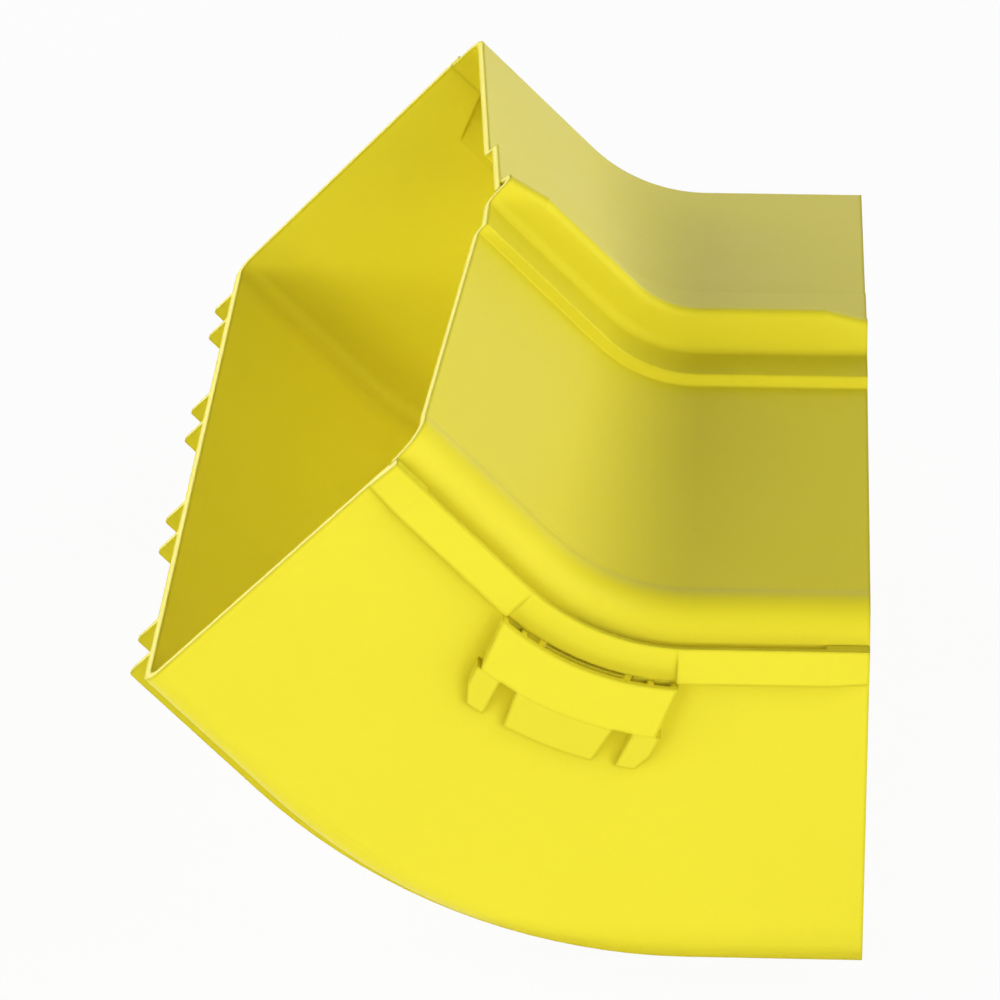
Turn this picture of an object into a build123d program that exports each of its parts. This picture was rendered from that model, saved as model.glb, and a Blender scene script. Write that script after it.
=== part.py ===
"""Raceway fitting for optical fibre: a wide open channel that turns 45 degrees upwards, with a split cover.

Millimetres, +Z up. The right leg runs along X and ends at X = 0, the left leg climbs away to the left,
and the front wall faces -Y. The origin is at the middle of the right end, level with the floor's underside.
Heights are above the floor's underside, measured square to the floor, also round the bend and up
the left leg.
"""
from math import cos, radians, sin, tan
import os

from build123d import *

# Run of the duct
RIGHT_LEG = 47.0
LEFT_LEG = 47.0
BEND_ANGLE = 45.0
COVER_BEND_RADIUS = 50.0

# Channel
FLOOR_WIDTH = 304.0
WALL = 2.6
WALL_LEAN = 3.2
CORNER_RADIUS = 7.0
RIM_DROP = 9.2
RIM_HEIGHT = 10.4
RIM_PROUD = 2.5
RIM_END_PROUD = 0.5
RIM_TAPER = 11.0
HOLLOW_DEPTH = 1.8
HOLLOW_FOOT = 51.0
HOLLOW_HEAD = 36.0

# Ribs under the floor, in pairs
RIB_PAIRS = 4
RIB_SET_IN = 21.2
RIB_GAP = 21.3
RIB_HEIGHT = 7.8
RIB_ROOT = 3.0
RIB_TIP = 2.0
RIB_END_ROUND = 0.8

# Cover halves
COVER = 2.2
COVER_EDGE_HEIGHT = 105.0
SKIRT_SET_IN = 4.4
SKIRT_OVERLAP = 2.8
FRONT_SLOPE = 6.15
BEAD_RADIUS = 11.5
BEAD_RISE = 0.5
BEAD_WIDTH = 14.4
BEAD_CREASE_ROUND = 3.0
REAR_SLOPE = 5.13
REAR_EDGE_RADIUS = 7.0
REAR_EDGE_RISE = 1.0
STEP_RISE = 3.1
STEP_RUN = 1.0
STEP_ROUND = 0.8
FRONT_STEP = 30.8
REAR_STEP = 34.8

# Interlock where the front half laps over the rear one
RIDGE_NEAR = 12.0
RIDGE_FAR = 1.5
RIDGE_HEIGHT = 10.8
RIDGE_LEAN = 2.2
RIDGE_TOP = 4.6
RIDGE_TOP_ROUND = 2.6
RIDGE_FOOT_ROUND = 3.6
RIDGE_END_DROP = 3.0
RIDGE_TAPER = 12.0
LIP_HEIGHT = 3.0
LIP_THICKNESS = 1.3

# Latch pockets, one on each wall at the middle of the bend
LATCH_WIDTH = 49.2
LATCH_PROUD = 4.5
BAND_HEIGHT = 14.1
BAND_GAP = 0.6
BAND_THICKNESS = 1.8
TAB_HEIGHT = 11.9
TAB_END_PROUD = 1.7
SIDE_TAB = 7.2
SIDE_TAB_PROUD = 1.2
SIDE_TAB_CUT = 3.0
MIDDLE_TAB_HEAD = 27.0
MIDDLE_TAB_FOOT = 24.8
LATCH_WEB = 1.8

# Relief inside each wall, and the arm and hook of the cover that it makes room for
RELIEF_WIDTH = 111.4
RELIEF_DEPTH = 3.6
RELIEF_LEAD_IN = 1.3
RELIEF_HEIGHT = 17.8
ARM_WIDTH = 22.0
HOOK_HEIGHT = 7.0
HOOK_REACH = 2.2
HOOK_TIP = 1.2
WINDOW_SIDE_GAP = 2.0

# Clearance left between the pieces where they seat
SEAT_GAP = 0.3

# Places that follow from the sizes above
AXIS_HEIGHT = COVER_EDGE_HEIGHT + COVER_BEND_RADIUS
HALF_WIDTH = FLOOR_WIDTH / 2
LEAN = tan(radians(WALL_LEAN))
FRONT_RISE = tan(radians(FRONT_SLOPE))
REAR_RISE = tan(radians(REAR_SLOPE))
RIM_TOP = COVER_EDGE_HEIGHT - RIM_DROP
RIM_BOTTOM = RIM_TOP - RIM_HEIGHT
LEDGE = RIM_TOP - SKIRT_OVERLAP
SKIRT_FOOT = LEDGE + SEAT_GAP
HALF_BEND = radians(BEND_ANGLE / 2)
BEND_AXIS = Axis((-RIGHT_LEG, 0, AXIS_HEIGHT), (0, 1, 0))
LEFT_DIRECTION = (-cos(radians(BEND_ANGLE)), 0, sin(radians(BEND_ANGLE)))
MID_BEND = Plane(
    origin=(-RIGHT_LEG, 0, AXIS_HEIGHT),
    x_dir=(-cos(HALF_BEND), 0, sin(HALF_BEND)),
    z_dir=(-sin(HALF_BEND), 0, -cos(HALF_BEND)),
)
FACE_ON = Plane(
    origin=MID_BEND.from_local_coords((0, 0, AXIS_HEIGHT)),
    x_dir=MID_BEND.x_dir,
    z_dir=(0, 1, 0),
)


def wall_out(height):
    """Half the channel's outer width at a height."""
    return HALF_WIDTH + LEAN * height


RIM_OUT = wall_out(RIM_TOP) + RIM_PROUD
SKIRT_OUT = RIM_OUT - SKIRT_SET_IN
LATCH_OUT = wall_out(RIM_BOTTOM) + LATCH_PROUD
PANEL_STEP = COVER_EDGE_HEIGHT + FRONT_RISE * (SKIRT_OUT - BEAD_WIDTH - FRONT_STEP)
PLATEAU = PANEL_STEP + STEP_RISE
LIP_OUT = -RIDGE_NEAR + RIDGE_LEAN + COVER


def skin(points, radii, thickness, side):
    """A wall section of even thickness on one side of a rounded outline."""
    outline = FilletPolyline(*points, radius=radii)
    return make_face(offset(outline, amount=thickness, side=side).edges())


def plate(*points):
    """A flat section from its corners, each a place across the duct and a height."""
    return make_face(Polyline(*points, close=True))


def at_right(section, distance):
    """The section stood across the right leg, at a distance from its end."""
    return Plane.YZ.offset(-distance) * section


def at_left(section, distance):
    """The section stood across the left leg, at a distance from its end."""
    turned = at_right(section, RIGHT_LEG).rotate(BEND_AXIS, BEND_ANGLE)
    return Pos(*[(LEFT_LEG - distance) * part for part in LEFT_DIRECTION]) * turned


def round_bend(section):
    """The section turned through the bend."""
    return revolve(at_right(section, RIGHT_LEG), axis=BEND_AXIS, revolution_arc=BEND_ANGLE)


def along_duct(section, inset=0.0):
    """The section carried from end to end of the duct, short of each end by inset."""
    right = extrude(at_right(section, inset), amount=RIGHT_LEG - inset, dir=(-1, 0, 0))
    down = tuple(-part for part in LEFT_DIRECTION)
    left = extrude(at_left(section, inset), amount=LEFT_LEG - inset, dir=down)
    return right + round_bend(section) + left


def tapered_duct(section, end_section, taper):
    """The section along the duct, passing to another one over the last stretch at each end."""
    right = loft([at_right(end_section, 0), at_right(section, taper)], ruled=True)
    left = loft([at_left(section, taper), at_left(end_section, 0)], ruled=True)
    return right + along_duct(section, taper) + left


def mid_bend_slab(width, offset=0.0):
    """A slab of even width, square to the middle of the bend, reaching down from the bend's axis."""
    depth = 2 * AXIS_HEIGHT
    return MID_BEND * Pos(offset, 0, depth / 2) * Box(width, 2 * FLOOR_WIDTH, depth)


def mid_bend_prism(*points):
    """A prism through both walls, from its corners seen face on: places along the bend, and heights."""
    return extrude(FACE_ON * plate(*points), amount=FLOOR_WIDTH, both=True)


def both_sides(solid):
    """The solid and its mirror image on the other wall."""
    return solid + mirror(solid, about=Plane.XZ)


def channel_skin():
    """Floor and walls, with the ledge that each cover skirt drops into."""
    above = RIM_TOP + WALL
    outline = [(-wall_out(above), above), (-HALF_WIDTH, 0), (HALF_WIDTH, 0), (wall_out(above), above)]
    section = skin(outline, CORNER_RADIUS, WALL, Side.LEFT)
    section -= Pos(0, RIM_TOP + AXIS_HEIGHT / 2) * Rectangle(2 * FLOOR_WIDTH, AXIS_HEIGHT)
    section -= Pos(0, LEDGE + AXIS_HEIGHT / 2) * Rectangle(2 * (SKIRT_OUT + SEAT_GAP), AXIS_HEIGHT)
    return along_duct(section)


def rim(end_proud):
    """The proud band along the top of the front wall, whose lower edge fades at both ends of the duct."""
    def band(foot_proud, top_proud):
        return plate(
            (-wall_out(RIM_BOTTOM) + WALL / 2, RIM_BOTTOM), (-wall_out(RIM_BOTTOM) - foot_proud, RIM_BOTTOM),
            (-wall_out(RIM_TOP) - top_proud, RIM_TOP), (-wall_out(RIM_TOP), RIM_TOP),
        )

    end_band = band(RIM_END_PROUD, end_proud)
    return tapered_duct(band(RIM_PROUD, RIM_PROUD), end_band, RIM_TAPER) - hollow()


def hollow():
    """The thumb hollow in the rim above the latch, curving in towards the rim's lower edge."""
    outer_foot = (-wall_out(RIM_BOTTOM) - RIM_PROUD, RIM_BOTTOM)
    inner_foot = (-wall_out(RIM_BOTTOM) - RIM_PROUD + HOLLOW_DEPTH, RIM_BOTTOM)
    head = (-RIM_OUT, RIM_TOP)
    down = Vector(*outer_foot) - Vector(*head)
    curve = TangentArc(head, inner_foot, tangent=down)
    clear = (-2 * RIM_OUT, RIM_BOTTOM)
    profile = make_face([curve, Polyline(inner_foot, clear, head)])
    half_foot = HOLLOW_FOOT / 2
    half_head = HOLLOW_HEAD / 2
    ends = mid_bend_prism(
        (-half_foot, RIM_BOTTOM), (half_foot, RIM_BOTTOM),
        (half_head, COVER_EDGE_HEIGHT), (-half_head, COVER_EDGE_HEIGHT),
    )
    return round_bend(profile) & ends


def ribs():
    """Thin fins under the floor, in pairs, that run from end to end."""
    half_root = RIB_ROOT / 2
    half_tip = RIB_TIP / 2
    pitch = (FLOOR_WIDTH - 2 * RIB_SET_IN - RIB_GAP) / (RIB_PAIRS - 1)
    fins = []
    for pair in range(RIB_PAIRS):
        for side in (-1, 1):
            middle = (pair - (RIB_PAIRS - 1) / 2) * pitch + side * RIB_GAP / 2
            section = plate(
                (middle - half_root, WALL / 2), (middle + half_root, WALL / 2),
                (middle + half_tip, -RIB_HEIGHT), (middle - half_tip, -RIB_HEIGHT),
            )
            fin = along_duct(section)
            ends = fin.edges().filter_by(Axis.Y).sort_by(Axis.X)
            right_tip = ends[-2:].sort_by(Axis.Z)[:1]
            left_tip = ends[:2].sort_by(Axis.Z)[:1]
            fins.append(fillet(right_tip + left_tip, RIB_END_ROUND))
    return fins


def latch():
    """The latch pocket on the front wall: a curved band, open at the top, over three sloping tabs."""
    top = RIM_BOTTOM - BAND_GAP
    band = top - BAND_HEIGHT
    tab = band - TAB_HEIGHT
    half = LATCH_WIDTH / 2
    tabs_half = half + SIDE_TAB_PROUD
    side_tab_in = tabs_half - SIDE_TAB
    block = round_bend(plate(
        (-wall_out(top) + WALL / 2, top), (-LATCH_OUT, top),
        (-LATCH_OUT, band), (-wall_out(band) + WALL / 2, band),
    )) & mid_bend_slab(LATCH_WIDTH)
    tabs = round_bend(plate(
        (-wall_out(band) + WALL / 2, band), (-LATCH_OUT, band),
        (-wall_out(tab) - TAB_END_PROUD, tab), (-wall_out(tab) + WALL / 2, tab),
    )) & mid_bend_slab(2 * tabs_half)
    for side in (-1, 1):
        tabs -= mid_bend_prism(
            (side * MIDDLE_TAB_HEAD / 2, top), (side * side_tab_in, top), (side * side_tab_in, tab),
            (side * MIDDLE_TAB_FOOT / 2, tab), (side * MIDDLE_TAB_HEAD / 2, band),
        )
        tabs -= mid_bend_prism(
            (side * tabs_half, band - SIDE_TAB_CUT), (side * tabs_half, tab),
            (side * (tabs_half - SIDE_TAB_CUT), tab),
        )
    pocket = round_bend(plate(
        (-wall_out(top), top), (-LATCH_OUT + BAND_THICKNESS, top),
        (-LATCH_OUT + BAND_THICKNESS, band + BAND_THICKNESS), (-wall_out(band), band + BAND_THICKNESS),
    ))
    block -= pocket & mid_bend_slab(2 * (side_tab_in - LATCH_WEB))
    side_cell = half - LATCH_WEB - side_tab_in
    for side in (-1, 1):
        block -= pocket & mid_bend_slab(side_cell, side * (side_tab_in + side_cell / 2))
    return block + tabs


def relief():
    """The shallow recess inside the front wall behind the rim, over the bend, with a sloping lower edge."""
    foot = RIM_TOP - RELIEF_HEIGHT
    over = RIM_TOP + WALL
    profile = plate(
        (-wall_out(foot) + WALL, foot),
        (-wall_out(RIM_BOTTOM) + WALL - RELIEF_LEAD_IN, RIM_BOTTOM),
        (-wall_out(RIM_BOTTOM) + WALL - RELIEF_DEPTH, RIM_BOTTOM + 2 * WALL),
        (-wall_out(over) + WALL - RELIEF_DEPTH, over),
        (-HALF_WIDTH + WALL, over), (-HALF_WIDTH + WALL, foot),
    )
    return along_duct(profile) & mid_bend_slab(RELIEF_WIDTH)


def window():
    """The opening through the front wall that the cover's hook reaches through, under the rim."""
    foot = RIM_BOTTOM - HOOK_HEIGHT - WINDOW_SIDE_GAP
    profile = plate(
        (-HALF_WIDTH + WALL, foot), (-wall_out(RIM_BOTTOM) - SEAT_GAP, foot),
        (-wall_out(RIM_BOTTOM) - SEAT_GAP, RIM_BOTTOM), (-SKIRT_OUT - SEAT_GAP, RIM_BOTTOM),
        (-SKIRT_OUT - SEAT_GAP, LEDGE), (-HALF_WIDTH + WALL, LEDGE),
    )
    return round_bend(profile) & mid_bend_slab(ARM_WIDTH + 2 * WINDOW_SIDE_GAP)


def channel():
    """The moulded channel: floor, walls, rims, ribs and both latch pockets in one piece."""
    rims = rim(RIM_PROUD) + mirror(rim(RIM_END_PROUD), about=Plane.XZ)
    body = channel_skin() + rims - both_sides(relief()) + both_sides(latch()) - both_sides(window())
    for fin in ribs():
        body += fin
    return body


def arm():
    """The arm that hangs from the front cover's skirt at the middle of the bend, with its hook."""
    hook_top = RIM_BOTTOM - 2 * SEAT_GAP
    hook_foot = hook_top - HOOK_HEIGHT
    profile = plate(
        (-SKIRT_OUT + COVER, SKIRT_FOOT), (-SKIRT_OUT, SKIRT_FOOT), (-SKIRT_OUT, hook_top),
        (-SKIRT_OUT - HOOK_REACH, hook_top), (-SKIRT_OUT - HOOK_REACH, hook_top - HOOK_TIP),
        (-SKIRT_OUT, hook_foot), (-SKIRT_OUT + COVER, hook_foot),
    )
    return round_bend(profile) & mid_bend_slab(ARM_WIDTH)


def front_cover():
    """The front half: bead, sloping panel, step, flat and the ridge that laps over the rear half."""
    under_ridge = plate(
        (LIP_OUT, rear_plate_top(LIP_OUT) + SEAT_GAP),
        (RIDGE_HEIGHT, rear_plate_top(RIDGE_HEIGHT) + SEAT_GAP),
        (RIDGE_HEIGHT, COVER_EDGE_HEIGHT), (LIP_OUT, COVER_EDGE_HEIGHT),
    )

    def section(ridge_height):
        points = [
            (-SKIRT_OUT, SKIRT_FOOT), (-SKIRT_OUT, COVER_EDGE_HEIGHT + BEAD_RISE),
            (-SKIRT_OUT + BEAD_WIDTH, COVER_EDGE_HEIGHT),
            (-FRONT_STEP, PANEL_STEP), (-FRONT_STEP + STEP_RUN, PLATEAU), (-RIDGE_NEAR, PLATEAU),
            (-RIDGE_NEAR + RIDGE_LEAN, PLATEAU + ridge_height),
            (-RIDGE_NEAR + RIDGE_LEAN + RIDGE_TOP, PLATEAU + ridge_height),
            (-RIDGE_FAR, rear_plate_top(-RIDGE_FAR)),
        ]
        radii = [
            BEAD_RADIUS, BEAD_CREASE_ROUND, STEP_ROUND, STEP_ROUND,
            RIDGE_FOOT_ROUND, RIDGE_TOP_ROUND, RIDGE_TOP_ROUND,
        ]
        return skin(points, radii, COVER, Side.RIGHT) - under_ridge

    end_height = RIDGE_HEIGHT - RIDGE_END_DROP
    return tapered_duct(section(RIDGE_HEIGHT), section(end_height), RIDGE_TAPER) + arm()


def rear_panel_top(across):
    """Height of the rear half's sloping panel at a place across the duct."""
    return COVER_EDGE_HEIGHT + REAR_EDGE_RISE + REAR_RISE * (SKIRT_OUT - across)


def rear_plate_top(across):
    """Height of the rear half's raised plate at a place across the duct."""
    return rear_panel_top(across) + STEP_RISE


def rear_cover():
    """The rear half: rounded edge, sloping panel, step, and the plate with a lip that ends in the ridge."""
    points = [
        (SKIRT_OUT, SKIRT_FOOT), (SKIRT_OUT, rear_panel_top(SKIRT_OUT)),
        (REAR_STEP, rear_panel_top(REAR_STEP)), (REAR_STEP - STEP_RUN, rear_plate_top(REAR_STEP - STEP_RUN)),
        (LIP_OUT, rear_plate_top(LIP_OUT)),
    ]
    half = along_duct(skin(points, [REAR_EDGE_RADIUS, STEP_ROUND, STEP_ROUND], COVER, Side.LEFT))
    lip_top = rear_plate_top(LIP_OUT) + LIP_HEIGHT
    lip_foot = rear_plate_top(LIP_OUT) - COVER / 2
    lip_in = LIP_OUT + LIP_THICKNESS
    lip = plate((LIP_OUT, lip_top), (lip_in, lip_top), (lip_in, lip_foot), (LIP_OUT, lip_foot))
    return half + along_duct(lip, RIDGE_TAPER) + mirror(arm(), about=Plane.XZ)


def write(name, solid):
    """Write one piece to its own file and print how much plastic it holds."""
    solid.label = name
    export_step(solid, os.path.join("parts", name + ".step"))
    print(name, round(solid.volume), "mm3,", len(solid.solids()), "solids,", len(solid.faces()), "faces")


def main():
    os.makedirs("parts", exist_ok=True)
    write("channel", channel())
    write("front_cover", front_cover())
    write("rear_cover", rear_cover())


main()
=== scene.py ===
"""Looks of the fibre raceway fitting.

Satin yellow plastic on the channel and on both cover halves, soft studio light, and the
photograph's camera.
"""

import bpy
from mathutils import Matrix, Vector


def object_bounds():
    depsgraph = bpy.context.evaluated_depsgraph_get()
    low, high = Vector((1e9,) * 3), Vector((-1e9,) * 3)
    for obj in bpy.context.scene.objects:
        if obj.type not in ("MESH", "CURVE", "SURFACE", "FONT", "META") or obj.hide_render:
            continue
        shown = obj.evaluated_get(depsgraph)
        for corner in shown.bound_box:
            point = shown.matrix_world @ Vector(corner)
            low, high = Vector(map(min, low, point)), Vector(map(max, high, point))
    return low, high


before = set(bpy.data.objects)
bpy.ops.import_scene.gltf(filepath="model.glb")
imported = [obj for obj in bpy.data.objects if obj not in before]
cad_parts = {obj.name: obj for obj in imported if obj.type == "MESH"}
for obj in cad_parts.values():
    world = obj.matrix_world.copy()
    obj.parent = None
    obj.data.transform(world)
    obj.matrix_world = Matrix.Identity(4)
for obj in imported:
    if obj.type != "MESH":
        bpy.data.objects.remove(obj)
CAD_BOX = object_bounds()

# Colours are linear
WALL_YELLOW = (0.885, 0.790, 0.036, 1.0)
WALL_YELLOW_DEEP = (0.855, 0.755, 0.031, 1.0)
COVER_YELLOW = (0.870, 0.765, 0.028, 1.0)
COVER_YELLOW_DEEP = (0.835, 0.725, 0.024, 1.0)
# Painted shade: a darker yellow put on cut edges and narrow end faces, so they look shaded
EDGE_SHADE_YELLOW = (0.690, 0.600, 0.018, 1.0)
# Painted shade: a darker yellow put where other faces are near, round the latch, under the rim
# strip and in corners
CREVICE_SHADE_YELLOW = (0.745, 0.650, 0.026, 1.0)
WHITE = (1.0, 1.0, 1.0, 1.0)
FLOOR_PALE = (0.90, 0.90, 0.90, 1.0)

# Gloss of the plastic: bare, worn by handling, and matt at cut edges and in crevices
PLASTIC_IOR = 1.46
PLASTIC_SPECULAR = 0.20
GLOSS_ROUGHNESS = 0.32
WORN_ROUGHNESS = 0.42
MATT_ROUGHNESS = 0.95

# Patterns in the plastic, to the metre: ripples of the melt, wear by handling, the mould's grain
RIPPLE_SCALE = 14.0
RIPPLE_DETAIL = 3.0
WEAR_SCALE = 55.0
WEAR_DETAIL = 5.0
CHANNEL_GRAIN = 900.0
COVER_GRAIN = 1100.0
GRAIN_DETAIL = 2.0
GRAIN_STRENGTH = 0.12
GRAIN_DEPTH = 0.0001

# Edges: the widths that are rounded and cut, in metres, and the cosine of a cut's turn where its
# matt finish and painted shade begin and are full
EDGE_WIDTH = 0.0006
CUT_WIDTH = 0.0013
CUT_START = 0.9995
CUT_FULL = 0.96
EDGE_SAMPLES = 4

# Painted crevice shade: how far off another face is felt, in metres, and the open share where the
# painted shade begins and where it is full
CREVICE_REACH = 0.022
CREVICE_START = 0.995
CREVICE_FULL = 0.92
CREVICE_SAMPLES = 4

# Inside the duct, where the open share is small, the painted crevice shade keeps only part of its
# strength
DUCT_REACH = 0.25
DUCT_INSIDE = 0.45
DUCT_OUTSIDE = 0.65
DUCT_CREVICE_SHADE_SHARE = 0.35
DUCT_SAMPLES = 3

# Floor, in metres, and the share of it that is plain white to the camera
FLOOR_SIZE = 14.0
FLOOR_BACK = 3.0
FLOOR_DROP = 0.0005
FLOOR_WHITE_SHARE = 0.95

# The surroundings' light at the horizon, and the height, as a sine, where it has faded out
GLOW_STRENGTH = 3.3
GLOW_TOP = 0.3

# Lamps round the fitting's middle, in metres: each one's direction, and its power in watts
LAMP_MIDDLE = (-0.09, 0.0, 0.06)
LAMP_DISTANCE = 2.5
LAMP_WIDTH = 1.5
LAMPS = (
    ("soft_front_left", (-0.561, -0.801, 0.208), 12.0),
    ("soft_front_right", (0.561, -0.801, 0.208), 16.0),
    ("soft_left", (-0.940, -0.094, 0.329), 14.0),
    ("soft_right", (0.940, -0.094, 0.329), 10.0),
    ("soft_high_right", (0.577, -0.384, 0.721), 14.0),
    ("soft_back_left", (-0.667, 0.667, 0.333), 31.0),
)

# Where the photograph was taken from, in metres and radians
CAMERA_PLACE = (-0.029217, -1.649464, 0.775359)
CAMERA_TURN = (1.166249, 0.000735, 0.044272)
CAMERA_LENS = 227.835
CAMERA_SENSOR = 36.0


def put(tree, kind, inputs, **settings):
    """Adds a node with its settings, and gives each input a value or links it to an output."""
    node = tree.nodes.new("ShaderNode" + kind)
    for name, setting in settings.items():
        setattr(node, name, setting)
    for name, given in inputs.items():
        if isinstance(given, bpy.types.NodeSocket):
            tree.links.new(given, node.inputs[name])
        else:
            node.inputs[name].default_value = given
    return node


def ramp(tree, value, start, end, at_start, at_end):
    """Passes from one level to another as a value goes from its start to its end."""
    limits = {"From Min": start, "From Max": end, "To Min": at_start, "To Max": at_end}
    return put(tree, "MapRange", {"Value": value, **limits}).outputs["Result"]


def moulded_surface_group():
    """A satin moulding's surface: grain, ripples of the melt, matt cut edges and crevices, and
    painted shade that darkens the cut edges and the crevices.
    """
    group = bpy.data.node_groups.new("moulded_surface", "ShaderNodeTree")
    for name, kind, value in (
        ("Base", "NodeSocketColor", WALL_YELLOW),
        ("Deep", "NodeSocketColor", WALL_YELLOW_DEEP),
        ("Edge", "NodeSocketColor", EDGE_SHADE_YELLOW),
        ("Crevice shade", "NodeSocketColor", CREVICE_SHADE_YELLOW),
        ("Edge width", "NodeSocketFloat", EDGE_WIDTH),
        ("Cut width", "NodeSocketFloat", CUT_WIDTH),
        ("Roughness low", "NodeSocketFloat", GLOSS_ROUGHNESS),
        ("Roughness high", "NodeSocketFloat", WORN_ROUGHNESS),
        ("Grain", "NodeSocketFloat", CHANNEL_GRAIN),
    ):
        made = group.interface.new_socket(name=name, in_out="INPUT", socket_type=kind)
        made.default_value = value
    for name, kind in (
        ("Colour", "NodeSocketColor"),
        ("Roughness", "NodeSocketFloat"),
        ("Normal", "NodeSocketVector"),
    ):
        group.interface.new_socket(name=name, in_out="OUTPUT", socket_type=kind)
    given = group.nodes.new("NodeGroupInput").outputs
    out = group.nodes.new("NodeGroupOutput").inputs
    place = put(group, "TexCoord", {}).outputs["Object"]
    facing = put(group, "NewGeometry", {}).outputs["Normal"]

    pattern = {"Vector": place, "Scale": RIPPLE_SCALE, "Detail": RIPPLE_DETAIL}
    ripple = put(group, "TexNoise", pattern).outputs["Fac"]
    shades = {"Factor": ripple, "A": given["Base"], "B": given["Deep"]}
    rippled = put(group, "Mix", shades, data_type="RGBA")

    trimmed = put(group, "Bevel", {"Radius": given["Cut width"]}, samples=EDGE_SAMPLES)
    sides = {0: trimmed.outputs["Normal"], 1: facing}
    turned = put(group, "VectorMath", sides, operation="DOT_PRODUCT")
    # Painted shade: cut edges and end faces are darkened toward the edge yellow; the same mask
    # makes them matt
    cut = ramp(group, turned.outputs["Value"], CUT_START, CUT_FULL, 0.0, 1.0)
    shades = {"Factor": cut, "A": rippled.outputs["Result"], "B": given["Edge"]}
    edge_shaded = put(group, "Mix", shades, data_type="RGBA")

    # Painted shade: the colour darkens toward the crevice yellow where other faces are near, less
    # so inside the duct
    near = put(group, "AmbientOcclusion", {"Distance": CREVICE_REACH}, samples=CREVICE_SAMPLES)
    crevice = ramp(group, near.outputs["AO"], CREVICE_START, CREVICE_FULL, 0.0, 1.0)
    far = put(
        group, "AmbientOcclusion", {"Distance": DUCT_REACH}, samples=DUCT_SAMPLES, only_local=True,
    )
    kept = ramp(group, far.outputs["AO"], DUCT_INSIDE, DUCT_OUTSIDE, DUCT_CREVICE_SHADE_SHARE, 1.0)
    depth = put(group, "Math", {0: crevice, 1: kept}, operation="MULTIPLY")
    shades = {
        "Factor": depth.outputs["Value"], "A": edge_shaded.outputs["Result"], "B": given["Crevice shade"],
    }
    crevice_shaded = put(group, "Mix", shades, data_type="RGBA")
    group.links.new(crevice_shaded.outputs["Result"], out["Colour"])

    pattern = {"Vector": place, "Scale": WEAR_SCALE, "Detail": WEAR_DETAIL}
    wear = put(group, "TexNoise", pattern).outputs["Fac"]
    limits = {"To Min": given["Roughness low"], "To Max": given["Roughness high"]}
    worn = put(group, "MapRange", {"Value": wear, **limits})
    matt = put(group, "Math", {0: cut, 1: crevice}, operation="MAXIMUM")
    levels = {
        "Factor": matt.outputs["Value"], "A": worn.outputs["Result"], "B": MATT_ROUGHNESS,
    }
    rough = put(group, "Mix", levels, data_type="FLOAT")
    group.links.new(rough.outputs["Result"], out["Roughness"])

    rounded = put(group, "Bevel", {"Radius": given["Edge width"]}, samples=EDGE_SAMPLES)
    pattern = {"Vector": place, "Scale": given["Grain"], "Detail": GRAIN_DETAIL}
    grain = put(group, "TexNoise", pattern).outputs["Fac"]
    raised = {"Height": grain, "Strength": GRAIN_STRENGTH, "Distance": GRAIN_DEPTH}
    grained = put(group, "Bump", {"Normal": rounded.outputs["Normal"], **raised})
    group.links.new(grained.outputs["Normal"], out["Normal"])
    return group


def yellow_plastic(name, group, base, deep, grain):
    """Satin yellow plastic, for one kind of moulding."""
    material = bpy.data.materials.new(name)
    material.use_nodes = True
    tree = material.node_tree
    shader = tree.nodes["Principled BSDF"]
    shader.inputs["IOR"].default_value = PLASTIC_IOR
    shader.inputs["Specular IOR Level"].default_value = PLASTIC_SPECULAR
    surface = tree.nodes.new("ShaderNodeGroup")
    surface.node_tree = group
    surface.inputs["Base"].default_value = base
    surface.inputs["Deep"].default_value = deep
    surface.inputs["Grain"].default_value = grain
    tree.links.new(surface.outputs["Colour"], shader.inputs["Base Color"])
    tree.links.new(surface.outputs["Roughness"], shader.inputs["Roughness"])
    tree.links.new(surface.outputs["Normal"], shader.inputs["Normal"])
    return material


def finish_mouldings():
    """Gives the channel and the cover halves their plastic."""
    group = moulded_surface_group()
    channel_plastic = yellow_plastic(
        "channel_yellow_plastic", group, WALL_YELLOW, WALL_YELLOW_DEEP, CHANNEL_GRAIN,
    )
    cover_plastic = yellow_plastic(
        "cover_yellow_plastic", group, COVER_YELLOW, COVER_YELLOW_DEEP, COVER_GRAIN,
    )
    for name, plastic in (
        ("channel", channel_plastic),
        ("front_cover", cover_plastic),
        ("rear_cover", cover_plastic),
    ):
        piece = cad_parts[name]
        piece.data.materials.clear()
        piece.data.materials.append(plastic)


def seen(tree):
    """One for what the camera sees, straight or in a reflection, and nought for light."""
    path = put(tree, "LightPath", {}).outputs
    rays = {0: path["Is Camera Ray"], 1: path["Is Glossy Ray"]}
    return put(tree, "Math", rays, operation="MAXIMUM").outputs["Value"]


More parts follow.
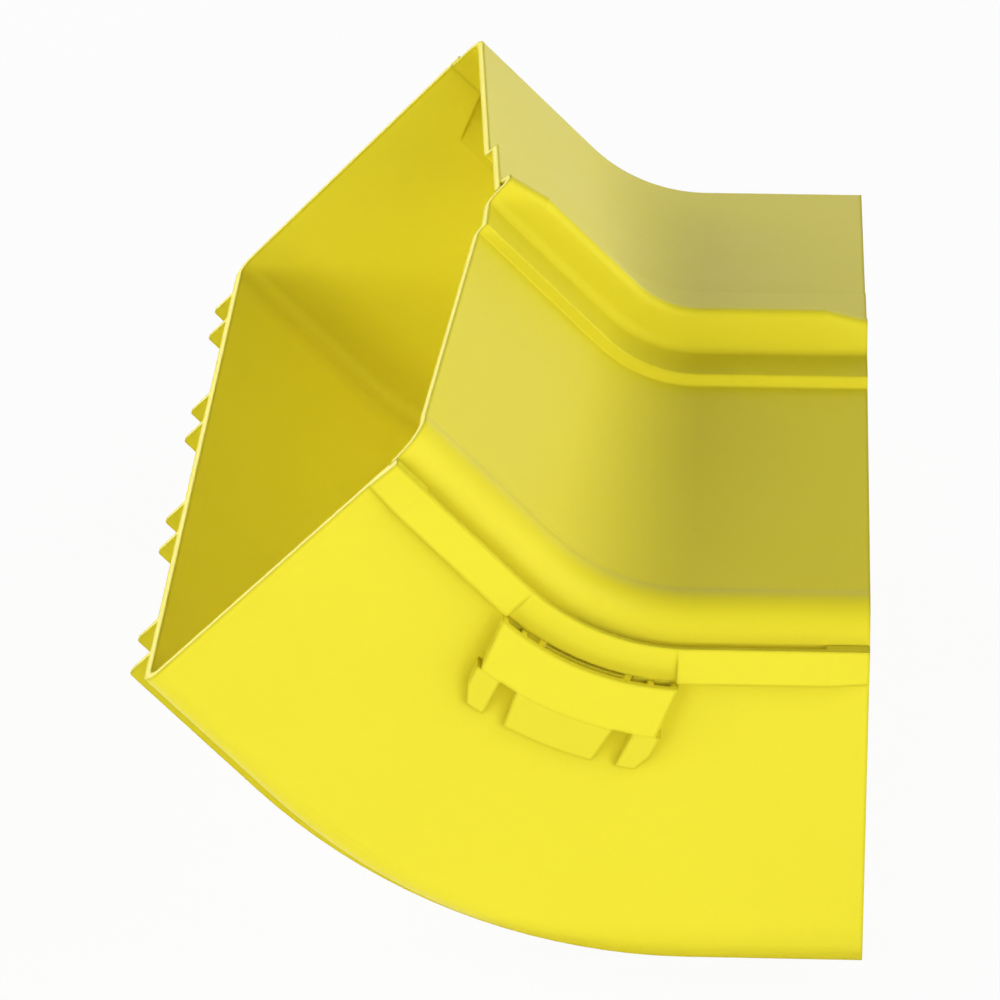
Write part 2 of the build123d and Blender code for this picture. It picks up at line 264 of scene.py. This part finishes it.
def pale_floor():
    """The studio floor, just under the lowest ribs: white, with the fitting's faint shadow."""
    height = CAD_BOX[0][2] - FLOOR_DROP
    bpy.ops.mesh.primitive_plane_add(size=FLOOR_SIZE, location=(0.0, FLOOR_BACK, height))
    floor = bpy.context.object
    floor.name = "studio_floor"
    bpy.ops.object.transform_apply(location=True, rotation=True, scale=True)
    material = bpy.data.materials.new("pale_floor")
    material.use_nodes = True
    tree = material.node_tree
    tree.nodes.clear()
    share = put(tree, "Math", {0: seen(tree), 1: FLOOR_WHITE_SHARE}, operation="MULTIPLY")
    matt = put(tree, "BsdfDiffuse", {"Color": FLOOR_PALE})
    white = put(tree, "Emission", {"Color": WHITE, "Strength": 1.0})
    halves = {1: matt.outputs["BSDF"], 2: white.outputs["Emission"]}
    mixed = put(tree, "MixShader", {"Fac": share.outputs["Value"], **halves})
    put(tree, "OutputMaterial", {"Surface": mixed.outputs["Shader"]})
    floor.data.materials.append(material)


def white_surroundings():
    """A white studio all round, whose own light comes from the horizon and below, not overhead."""
    world = bpy.data.worlds.new("studio")
    bpy.context.scene.world = world
    world.use_nodes = True
    tree = world.node_tree
    tree.nodes.clear()
    place = put(tree, "TexCoord", {}).outputs["Generated"]
    height = put(tree, "SeparateXYZ", {"Vector": place}).outputs["Z"]
    glow = ramp(tree, height, 0.0, GLOW_TOP, GLOW_STRENGTH, 0.0)
    light = put(tree, "Background", {"Color": WHITE, "Strength": glow})
    white = put(tree, "Background", {"Color": WHITE, "Strength": 1.0})
    halves = {1: light.outputs["Background"], 2: white.outputs["Background"]}
    mixed = put(tree, "MixShader", {"Fac": seen(tree), **halves})
    put(tree, "OutputWorld", {"Surface": mixed.outputs["Shader"]})


def studio_lamps():
    """Large square soft lamps, each turned to the fitting's middle."""
    middle = Vector(LAMP_MIDDLE)
    for name, direction, power in LAMPS:
        lamp = bpy.data.lights.new(name, "AREA")
        lamp.shape = "SQUARE"
        lamp.size = LAMP_WIDTH
        lamp.energy = power
        item = bpy.data.objects.new(name, lamp)
        item.location = middle + Vector(direction) * LAMP_DISTANCE
        item.rotation_euler = (middle - item.location).to_track_quat("-Z", "Y").to_euler()
        bpy.context.scene.collection.objects.link(item)


def photo_camera():
    """The camera at the photograph's place."""
    lens = bpy.data.cameras.new("photo_camera")
    lens.sensor_width = CAMERA_SENSOR
    lens.lens = CAMERA_LENS
    item = bpy.data.objects.new("photo_camera", lens)
    item.location = CAMERA_PLACE
    item.rotation_euler = CAMERA_TURN
    bpy.context.scene.collection.objects.link(item)
    bpy.context.scene.camera = item


bpy.ops.object.select_all(action="DESELECT")
bpy.context.scene.view_settings.view_transform = "Standard"
finish_mouldings()
pale_floor()
white_surroundings()
studio_lamps()
photo_camera()
